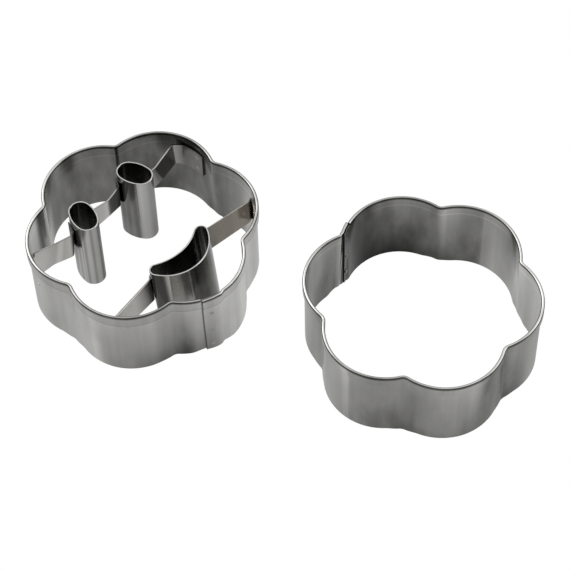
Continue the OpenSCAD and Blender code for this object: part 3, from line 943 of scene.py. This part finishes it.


# Painted reflections and shade: brighter and darker bands on the steel, in stops for the inner
# side, the outer side and the rim. The dark inner sides of the tubes are painted shade too. A stop
# is its place and its tone, or its place, the tone at the foot and the tone at the top. The place
# is a direction in degrees on the bands and eye tubes, and a distance across the face on the mouth
# and the bridges.
FACE_PAINTED_LIGHT = (
    [(35, 1.6), (42, 1.5, 0.9), (49, 0.7), (63, 0.4, 0.45), (72, 0.32, 0.22), (82, 0.5, 0.25),
     (90, 0.4, 0.25), (98, 0.2, 0.5), (118, 0.3, 0.35), (133, 0.5), (146, 0.4), (158, 0.5),
     (168, 0.35, 0.3), (176, 0.9), (184, 1.3, 1.5), (187, 1.0), (191, 0.25, 0.15),
     (196, 0.4, 1.6)],
    [(15, 1.5, 1.4), (24, 1.6), (205, 1.2, 1.4), (236, 1.15, 1.25), (246, 1.2, 1.15), (262, 1.5),
     (271, 0.7, 1.2), (292, 0.5, 1.35), (310, 0.12, 1.3), (320, 0.5, 1.5), (340, 1.4, 1.5),
     (350, 1.7)],
    [(20, 0.75), (90, 0.6), (160, 0.8), (200, 1.1), (250, 0.65), (300, 0.65), (340, 0.9)])
PLAIN_PAINTED_LIGHT = (
    [(15, 1.1, 1.4), (42, 1.1, 1.6), (50, 1.2, 0.3), (64, 0.95, 0.8), (72, 0.75, 0.8),
     (74, 0.32, 0.6), (91, 0.25, 1.0), (93, 0.3, 1.3), (98, 0.22, 0.6), (112, 0.05, 0.75),
     (127, 0.03, 0.5), (136, 0.03, 0.2), (152, 0.2, 0.02), (154.8, 0.25, 0.05), (155.6, 1.3),
     (158.2, 0.7, 1.0), (160, 0.3, 0.8), (172, 0.35, 1.0), (184, 0.8, 0.3)],
    [(6, 0.3, 0.25), (12, 0.8), (200, 0.7, 1.1), (216, 0.8, 0.6), (225, 1.05, 0.7),
     (247, 0.8, 1.4), (249, 0.62, 0.9), (275, 0.3, 0.8), (290, 0.5, 0.9), (310, 0.55, 1.3),
     (320, 0.35, 0.4), (332, 0.12, 0.2), (342, 0.3, 1.0), (355, 0.85)],
    [(20, 1.0), (90, 0.6), (160, 0.8), (200, 1.0), (260, 0.65), (330, 0.9)])
EYE_PAINTED_LIGHT = {
    LEFT: (
        [(0, 0.33)],
        [(10, 0.3), (206, 0.6, 0.4), (214, 0.9, 0.05), (229, 0.9, 0.05), (234, 1.4, 1.0),
         (240, 0.8), (246, 1.4, 1.3), (252, 0.9, 0.8), (259, 1.4, 1.5), (266, 0.8), (274, 0.9),
         (282, 1.25, 1.5), (296, 1.15, 1.3), (305, 0.7), (322, 1.1), (335, 1.0), (350, 0.3)],
        [(0, 1.15)]),
    RIGHT: (
        [(0, 0.33)],
        [(5, 0.45), (205, 0.45, 0.2), (216, 0.45, 0.02), (244, 0.5, 0.02), (250, 0.55, 0.5),
         (257, 0.45, 0.35), (263, 0.6), (272, 0.45, 0.4), (281, 1.1, 1.35), (300, 1.0, 1.2),
         (340, 0.6, 0.7)],
        [(0, 1.15)])}
MOUTH_PAINTED_LIGHT = (
    [(5, 0.35), (8.5, 0.35, 0.4)],
    [(-8.6, 0.3, 0.2), (-7.8, 1.1, 1.6), (-3.2, 0.9, 1.6), (-2.4, 0.25, 0.4), (0, 0.2, 0.3),
     (1.5, 0.12, 0.22), (3, 0.2, 0.3), (5, 0.3, 0.35), (8, 1.0)],
    [(0, 1.15)])
BRIDGE_PAINTED_LIGHT = {
    "left_eye_bridge": [(-25, 1.45), (-19, 1.15), (-17.6, 1.6), (-16.6, 1.2), (-14.8, 1.35),
                        (-13.9, 0.1), (-12.2, 0.08), (-11.2, 0.45)],
    "middle_eye_bridge": [(-1.5, 1.25), (0.2, 1.4), (1.2, 0.4), (4.2, 0.35), (4.8, 0.1)],
    "right_eye_bridge": [(15, 1.0), (17, 0.25), (24, 0.3), (25.3, 0.8), (27, 0.45), (29.5, 0.65)],
    "left_mouth_bridge": [(-18, 1.3), (-12, 0.6, 0.5)],
    "right_mouth_bridge": [(12, 0.6), (16, 0.8), (24.2, 0.8), (24.7, 0.9), (25.1, 0.28)]}
# Painted reflections and shade on the edges of the bridges, which are dark where a tab lies in the
# shade of the rim
EDGE_PAINTED_LIGHT = {
    "left_eye_bridge": [(-24, 0.2), (-22, 0.5), (-15, 0.5), (-13.8, 0.1)],
    "middle_eye_bridge": [(4, 0.6), (4.8, 0.1)],
    "right_eye_bridge": [(22, 0.6), (25.5, 0.1), (29, 0.2)],
    "left_mouth_bridge": [(0, 0.45)],
    "right_mouth_bridge": [(23.8, 0.5), (24.8, 0.1)]}


def make_bands():
    outline = flower(LOBE_STEP / 2)
    start = seam_start(outline, LOBE_STEP / 2, FACE_SEAM_LOBE, FACE_SEAM)
    face = band("face_band_steel", outline, start, FACE_LAP, FACE_HEM, FACE_HEM_SHADE, FACE_LEANS,
                FACE_EASES, FACE, FACE_PAINTED_LIGHT)
    dress(face, "face_cutter", "band_steel", "face_band")
    spots = lap_spots(outline, start, FACE_LAP, FACE_WELD_SHARES, FACE_EASES, FACE_SEAM_TONE)
    dress(welds("face_seam_marks", spots, FACE), "face_cutter", "weld_spot", "face_seam_welds")

    outline = flower(0)
    start = seam_start(outline, 0, PLAIN_SEAM_LOBE, PLAIN_SEAM)
    # This lap ends in the middle of a crease
    lap = crease_middle(outline, PLAIN_SEAM_LOBE) - start
    plain = band("plain_band_steel", outline, start, lap, PLAIN_HEM, PLAIN_HEM_SHADE, PLAIN_LEANS,
                 PLAIN_EASES, PLAIN, PLAIN_PAINTED_LIGHT)
    dress(plain, "plain_cutter", "band_steel", "plain_band")
    spots = lap_spots(outline, start, lap, PLAIN_WELD_SHARES, PLAIN_EASES, PLAIN_SEAM_TONE)
    dress(welds("plain_seam_marks", spots, PLAIN), "plain_cutter", "weld_spot", "plain_seam_welds")


def make_tubes():
    outline = oval()
    for side, name in ((LEFT, "left_eye_tube"), (RIGHT, "right_eye_tube")):
        place = FACE @ Matrix.Translation(eye_mid(side).to_3d()) @ Matrix.Rotation(
            math.radians(90 + side * EYE_TILT), 4, "Z")
        looks = (place.to_3x3().inverted() @ Vector((*EYE_SEAMS[side], 0))).xy
        obj = tube(name + "_steel", outline, outline.facing(looks), place, EYE_PAINTED_LIGHT[side])
        dress(obj, "face_cutter", "tube_steel", name)
    dress(mouth(), "face_cutter", "tube_steel", "mouth_tube")


def make_bridges():
    right_wall, right_side = wall_tab(*RIGHT_EYE_TAB), eye_tab(*RIGHT_EYE_SIDE)
    inner_left = eye_tab(*INNER_LEFT)
    left_mouth, right_mouth = wall_tab(*LEFT_MOUTH_TAB), wall_tab(*RIGHT_MOUTH_TAB)
    # Upper and lower line of each strip, with the slanted bends that the hand tools left
    lines = {
        "left_eye_bridge": (
            wall_tab(*LEFT_EYE_TAB_TOP) + [(-18.0, 13.3), (-13.9, 12.2)] + eye_tab(*LEFT_EYE_TOP),
            wall_tab(*LEFT_EYE_TAB) + [(-19.7, 13.8), (-14.4, 11.85)] + eye_tab(*LEFT_EYE_LOW)),
        "middle_eye_bridge": (
            inner_left + [(0.33, 13.2)] + eye_tab(*INNER_RIGHT_TOP),
            inner_left + [(1.23, 14.26)] + eye_tab(*INNER_RIGHT_LOW)),
        "right_eye_bridge": (
            right_wall + [(25.0, 13.75), (15.94, 11.6)] + right_side,
            right_wall + [(25.55, 13.6), (18.47, 12.24)] + right_side),
        "left_mouth_bridge": (
            left_mouth + mouth_tab(LEFT, LEFT_TIP_A, BRIDGE_TOP),
            left_mouth + mouth_tab(LEFT, LEFT_TIP_A, BRIDGE_LOW)),
        "right_mouth_bridge": (
            right_mouth + [(24.6, -14.45)] + mouth_tab(RIGHT, RIGHT_TIP_A, BRIDGE_TOP),
            right_mouth + [(24.2, -14.8)] + mouth_tab(RIGHT, RIGHT_TIP_A, BRIDGE_LOW)),
    }
    for name, (top, low) in lines.items():
        tones = (BRIDGE_PAINTED_LIGHT[name], BRIDGE_PAINTED_LIGHT[name], EDGE_PAINTED_LIGHT[name])
        # Welding left a warm tint on one strip
        strip_steel = TINTED_STEEL if name == "right_mouth_bridge" else BRIDGE_STEEL
        strip = bridge(name + "_steel", top, low, tones, strip_steel)
        dress(strip, "face_cutter", "bridge_steel", name)


def make_bridge_welds():
    spots = []
    for tab, tone in EYE_TAB_WELDS:
        spots += wall_spots(*tab, tone)
    for side, a in EYE_TUBE_WELDS:
        spots += eye_spots(side, a)
    dress(welds("eye_bridge_marks", spots, FACE), "face_cutter", "weld_spot", "eye_bridge_welds")
    spots = []
    for tab, tone in MOUTH_TAB_WELDS:
        spots += wall_spots(*tab, tone)
    for side in (LEFT, RIGHT):
        spots += mouth_spots(side)
    marks = welds("mouth_bridge_marks", spots, FACE)
    dress(marks, "face_cutter", "weld_spot", "mouth_bridge_welds")


# Camera: what it looks at, the way back from there to it, its distance, roll, lens and film, and
# how far it sees in metres
LOOK_AT = Vector((-2.22, 7.157, 0))
BACK = Vector((0.18455, -0.5487, 0.8154))
DISTANCE = 573.1
ROLL = -0.0287
LENS = 137.29
FILM = 36
FAR = 10


def make_camera():
    data = bpy.data.cameras.new("camera")
    data.lens = LENS
    data.sensor_width = FILM
    data.clip_end = FAR
    camera = new_object("camera", data)
    right = UP.cross(BACK).normalized()
    up = BACK.normalized().cross(right)
    right_rolled = math.cos(ROLL) * right + math.sin(ROLL) * up
    up_rolled = math.cos(ROLL) * up - math.sin(ROLL) * right
    turn = Matrix((right_rolled, up_rolled, BACK.normalized())).transposed()
    camera.matrix_world = Matrix.Translation((LOOK_AT + BACK * DISTANCE) * MM) @ turn.to_4x4()
    bpy.context.scene.camera = camera


# Floor: half its side in metres, the light that the steel gets from it outside and inside the
# cutters, and the radii between which that light changes
FLOOR_HALF = 0.9
OPEN_LIGHT = 0.5
INNER_LIGHT = 0.48
INNER_LIGHT_R = 26
OPEN_LIGHT_R = 30


def make_floor():
    """A plain pale floor. Its light falls off inside the cutters, as seen in the steel."""
    mesh = bpy.data.meshes.new("floor")
    corners = ((-1, -1), (1, -1), (1, 1), (-1, 1))
    mesh.from_pydata([(x * FLOOR_HALF, y * FLOOR_HALF, 0) for x, y in corners], [],
                     [(0, 1, 2, 3)])
    floor = new_object("floor", mesh)
    material = bpy.data.materials.new("pale_floor")
    material.use_nodes = True
    tree = material.node_tree
    tree.nodes.clear()
    place = add(tree, "ShaderNodeTexCoord").outputs["Object"]
    level = OPEN_LIGHT
    for matrix in (FACE, PLAIN):
        far = add(tree, "ShaderNodeVectorMath", {0: place, 1: matrix.translation * MM},
                  operation="DISTANCE").outputs["Value"]
        outside = ranged(tree, far, INNER_LIGHT_R * MM, OPEN_LIGHT_R * MM, kind="SMOOTHSTEP")
        level = put(tree, "ShaderNodeMix", {0: outside, 2: INNER_LIGHT, 3: level})
    bounced = put(tree, "ShaderNodeEmission", {"Strength": level})
    bright = put(tree, "ShaderNodeEmission", {"Strength": 1.0})
    seen = add(tree, "ShaderNodeLightPath").outputs["Is Camera Ray"]
    mixed = put(tree, "ShaderNodeMixShader", {0: seen, 1: bounced, 2: bright})
    add(tree, "ShaderNodeOutputMaterial", {"Surface": mixed})
    mesh.materials.append(material)


# The room: dim walls that turn into a ceiling between two heights of a unit sphere. The ceiling is
# dim on the near side and turns bright between two distances towards BEHIND.
BEHIND = Vector((-0.32, 0.95, 0))
CEILING_LOW, CEILING_HIGH = 0.15, 0.55
FADE_FROM, FADE_TO = -0.35, 0.35
WALL_LIGHT = 0.12
DIM_CEILING, BRIGHT_CEILING = 0.25, 1.3

# Soft boxes: place and size in metres, and power
SOFT_BOXES = {"left_softbox": ((-0.8, 0.25, 0.7), 0.8, 3),
              "right_softbox": ((0.9, 0.3, 0.6), 0.6, 1.7)}


def make_light():
    scene = bpy.context.scene
    scene.view_settings.view_transform = "Standard"
    world = bpy.data.worlds.new("studio")
    scene.world = world
    world.use_nodes = True
    tree = world.node_tree
    tree.nodes.clear()
    way = add(tree, "ShaderNodeTexCoord").outputs["Generated"]
    height = add(tree, "ShaderNodeSeparateXYZ", {0: way}).outputs["Z"]
    behind = add(tree, "ShaderNodeVectorMath", {0: way, 1: BEHIND},
                 operation="DOT_PRODUCT").outputs["Value"]
    ceiling = ranged(tree, height, CEILING_LOW, CEILING_HIGH, kind="SMOOTHSTEP")
    glow = ranged(tree, behind, FADE_FROM, FADE_TO, DIM_CEILING, BRIGHT_CEILING, "SMOOTHSTEP")
    strength = put(tree, "ShaderNodeMix", {0: ceiling, 2: WALL_LIGHT, 3: glow})
    sky = put(tree, "ShaderNodeBackground", {"Color": (1, 1, 1, 1), "Strength": strength})
    add(tree, "ShaderNodeOutputWorld", {"Surface": sky})
    for name, (spot, size, power) in SOFT_BOXES.items():
        data = bpy.data.lights.new(name, "AREA")
        data.size = size
        data.energy = power
        light = new_object(name, data)
        light.matrix_world = Matrix.Translation(spot) @ Vector(spot).to_track_quat(
            "Z", "Y").to_matrix().to_4x4()


make_camera()
make_bands()
make_tubes()
make_bridges()
make_bridge_welds()
make_floor()
make_light()
